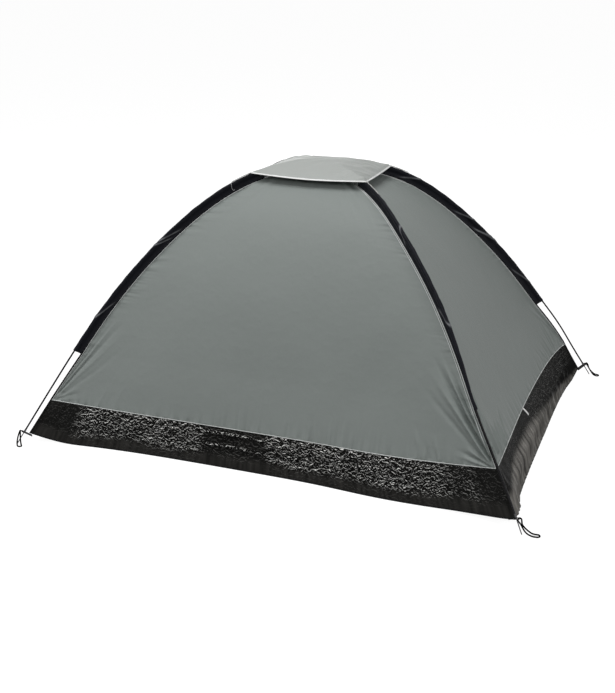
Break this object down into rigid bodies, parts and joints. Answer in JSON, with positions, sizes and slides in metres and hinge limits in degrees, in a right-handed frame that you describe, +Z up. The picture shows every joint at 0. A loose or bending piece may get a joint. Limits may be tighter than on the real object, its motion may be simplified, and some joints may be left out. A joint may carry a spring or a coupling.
{
  "type": "dome tent",
  "caption": "Dome tent pitched on crossed arched poles, with pole sleeves, a tub floor, a zipped side door, a roof vent under a small cover, and corner peg loops.",
  "frame": {"origin": "on the ground under the middle of the floor, where the poles' diagonals cross", "axes": "+Z up; +X along the long sides; the plain long side is the back and faces -Y, the door is in the long side that faces +Y"},
  "size_m": [2.1643, 1.617, 1.1065],
  "materials": {
    "canopy_cloth": "plain-weave coated polyester, greenish grey, matt with a faint sheen",
    "cover_cloth": "plain-weave coated polyester, pale grey, with white bound edges",
    "tub_sheeting": "crinkled woven polythene sheeting, black with a soft shine",
    "sleeve_cloth": "polyester sleeve cloth, blue-black, matt",
    "vent_mesh": "fine black insect mesh",
    "pole_rod": "glass-fibre tube, black, half gloss",
    "plated_steel": "zinc-plated steel",
    "elastic_cord": "braided elastic cord, off-white",
    "black_webbing": "woven webbing, black, matt",
    "black_cord": "braided cord, black, matt",
    "zip_chain": "nylon coil chain on woven tape, black",
    "slider_metal": "enamelled die-cast zinc, black"
  },
  "bodies": {
    "tent": {"canopy_wall_back": "canopy_cloth", "canopy_wall_door": "canopy_cloth", "canopy_wall_left": "canopy_cloth", "canopy_wall_right": "canopy_cloth", "roof_mesh": "vent_mesh", "floor_sheet": "tub_sheeting", "tub_wall_back": "tub_sheeting", "tub_wall_door": "tub_sheeting", "tub_wall_left": "tub_sheeting", "tub_wall_right": "tub_sheeting", "sleeve_back_left": "sleeve_cloth", "sleeve_back_right": "sleeve_cloth", "sleeve_door_left": "sleeve_cloth", "sleeve_door_right": "sleeve_cloth", "pole_a_section_1": "pole_rod", "pole_a_section_2": "pole_rod", "pole_a_section_3": "pole_rod", "pole_a_section_4": "pole_rod", "pole_a_section_5": "pole_rod", "pole_b_section_1": "pole_rod", "pole_b_section_2": "pole_rod", "pole_b_section_3": "pole_rod", "pole_b_section_4": "pole_rod", "pole_b_section_5": "pole_rod", "pole_a_ferrule_1": "plated_steel", "pole_a_ferrule_2": "plated_steel", "pole_a_ferrule_3": "plated_steel", "pole_a_ferrule_4": "plated_steel", "pole_b_ferrule_1": "plated_steel", "pole_b_ferrule_2": "plated_steel", "pole_b_ferrule_3": "plated_steel", "pole_b_ferrule_4": "plated_steel", "pole_tip_back_left": "plated_steel", "pole_tip_back_right": "plated_steel", "pole_tip_door_left": "plated_steel", "pole_tip_door_right": "plated_steel", "eyelet_back_left": "plated_steel", "eyelet_back_right": "plated_steel", "eyelet_door_left": "plated_steel", "eyelet_door_right": "plated_steel", "shock_cord_a": "elastic_cord", "shock_cord_b": "elastic_cord", "corner_tab_back_left": "black_webbing", "corner_tab_back_right": "black_webbing", "corner_tab_door_left": "black_webbing", "corner_tab_door_right": "black_webbing", "zip_tape_wall": "zip_chain"},
    "door": {"door_panel": "canopy_cloth", "zip_tape_door": "zip_chain"},
    "sill_slider": {"zip_slider_sill": "slider_metal"},
    "side_slider": {"zip_slider_side": "slider_metal"},
    "roof_cover": {"roof_cover": "cover_cloth", "cover_elastic_back_left": "elastic_cord", "cover_elastic_back_right": "elastic_cord", "cover_elastic_door_left": "elastic_cord", "cover_elastic_door_right": "elastic_cord"},
    "peg_loop_back_left": {"peg_loop_back_left": "black_cord"},
    "peg_loop_back_right": {"peg_loop_back_right": "black_cord"},
    "peg_loop_door_left": {"peg_loop_door_left": "black_cord"},
    "peg_loop_door_right": {"peg_loop_door_right": "black_cord"}
  },
  "joints": [
    {"name": "door_swing", "type": "hinge", "parent": "tent", "child": "door", "pos_m": [-0.36, 0.70376, 0.21677], "axis": [0, -0.4599, 0.888], "range_deg": [0, 150]},
    {"name": "sill_zip", "type": "slide", "parent": "door", "child": "sill_slider", "axis": [-1, 0, 0], "range_m": [0, 0.56]},
    {"name": "side_zip", "type": "slide", "parent": "door", "child": "side_slider", "axis": [0, -0.4073, 0.9133], "range_m": [0, 0.24]},
    {"name": "cover_lift", "type": "slide", "parent": "tent", "child": "roof_cover", "axis": [0, 0, 1], "range_m": [0, 0.25]},
    {"name": "peg_loop_back_left_swing", "type": "hinge", "parent": "tent", "child": "peg_loop_back_left", "pos_m": [-1.01558, -0.77499, 0.05625], "axis": [-0.6066, 0.795, 0], "range_deg": [0, 130]},
    {"name": "peg_loop_back_right_swing", "type": "hinge", "parent": "tent", "child": "peg_loop_back_right", "pos_m": [1.01558, -0.77499, 0.05625], "axis": [-0.6066, -0.795, 0], "range_deg": [0, 130]},
    {"name": "peg_loop_door_right_swing", "type": "hinge", "parent": "tent", "child": "peg_loop_door_right", "pos_m": [1.01558, 0.77499, 0.05625], "axis": [0.6066, -0.795, 0], "range_deg": [0, 130]},
    {"name": "peg_loop_door_left_swing", "type": "hinge", "parent": "tent", "child": "peg_loop_door_left", "pos_m": [-1.01558, 0.77499, 0.05625], "axis": [0.6066, 0.795, 0], "range_deg": [0, 130]}
  ]
}
